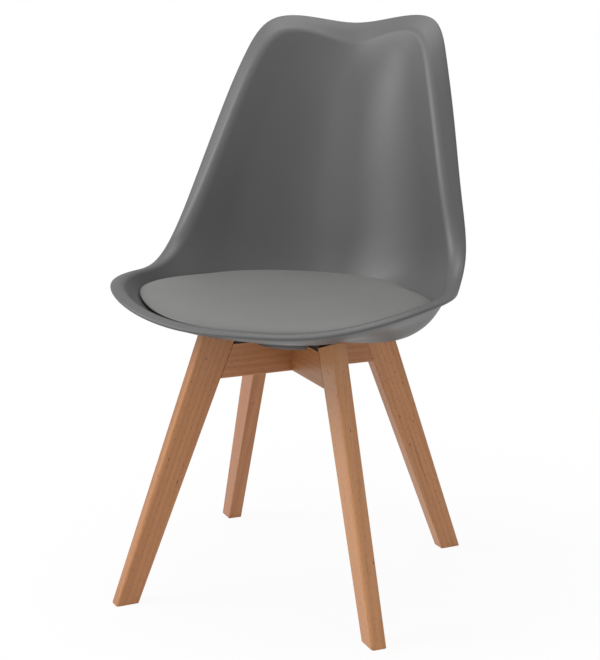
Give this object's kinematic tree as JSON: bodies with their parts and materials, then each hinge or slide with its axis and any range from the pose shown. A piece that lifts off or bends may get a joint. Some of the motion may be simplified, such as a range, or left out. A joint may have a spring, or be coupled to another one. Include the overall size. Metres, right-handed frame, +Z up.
{
  "type": "moulded plastic shell chair",
  "caption": "Shell chair: a flared bucket shell with a two-eared back and a padded seat, bolted to two crossed beech frames of splayed legs.",
  "frame": {"origin": "on the floor under the middle of the whole chair", "axes": "+X towards the sitter's left, +Y backwards, +Z up; the chair faces -Y and is the same on both sides of X = 0"},
  "size_m": [0.489, 0.4966, 0.8159],
  "materials": {
    "shell_plastic": "satin moulded polypropylene, mid grey",
    "cushion_leather": "soft grey imitation leather with a fine grain",
    "cushion_foam": "open-cell foam",
    "plywood": "bare plywood",
    "beech": "clear satin lacquer on steamed beech",
    "dowel_beech": "bare beech",
    "black_plastic": "matte black nylon",
    "zinc_steel": "bright zinc plate",
    "insert_brass": "turned brass"
  },
  "bodies": {
    "root": {"seat_shell": "shell_plastic", "cushion_cover": "cushion_leather", "cushion_foam": "cushion_foam", "cushion_board": "plywood", "cushion_staples": "zinc_steel", "cushion_screws": "zinc_steel", "front_left_leg": "beech", "front_right_leg": "beech", "rear_left_leg": "beech", "rear_right_leg": "beech", "upper_slot_rail": "beech", "lower_slot_rail": "beech", "front_left_dowels": "dowel_beech", "front_right_dowels": "dowel_beech", "rear_left_dowels": "dowel_beech", "rear_right_dowels": "dowel_beech", "spacer_pads": "black_plastic", "frame_bolts": "zinc_steel", "flat_washers": "zinc_steel", "lock_washers": "zinc_steel", "shell_insert_nuts": "insert_brass"}
  },
  "joints": []
}
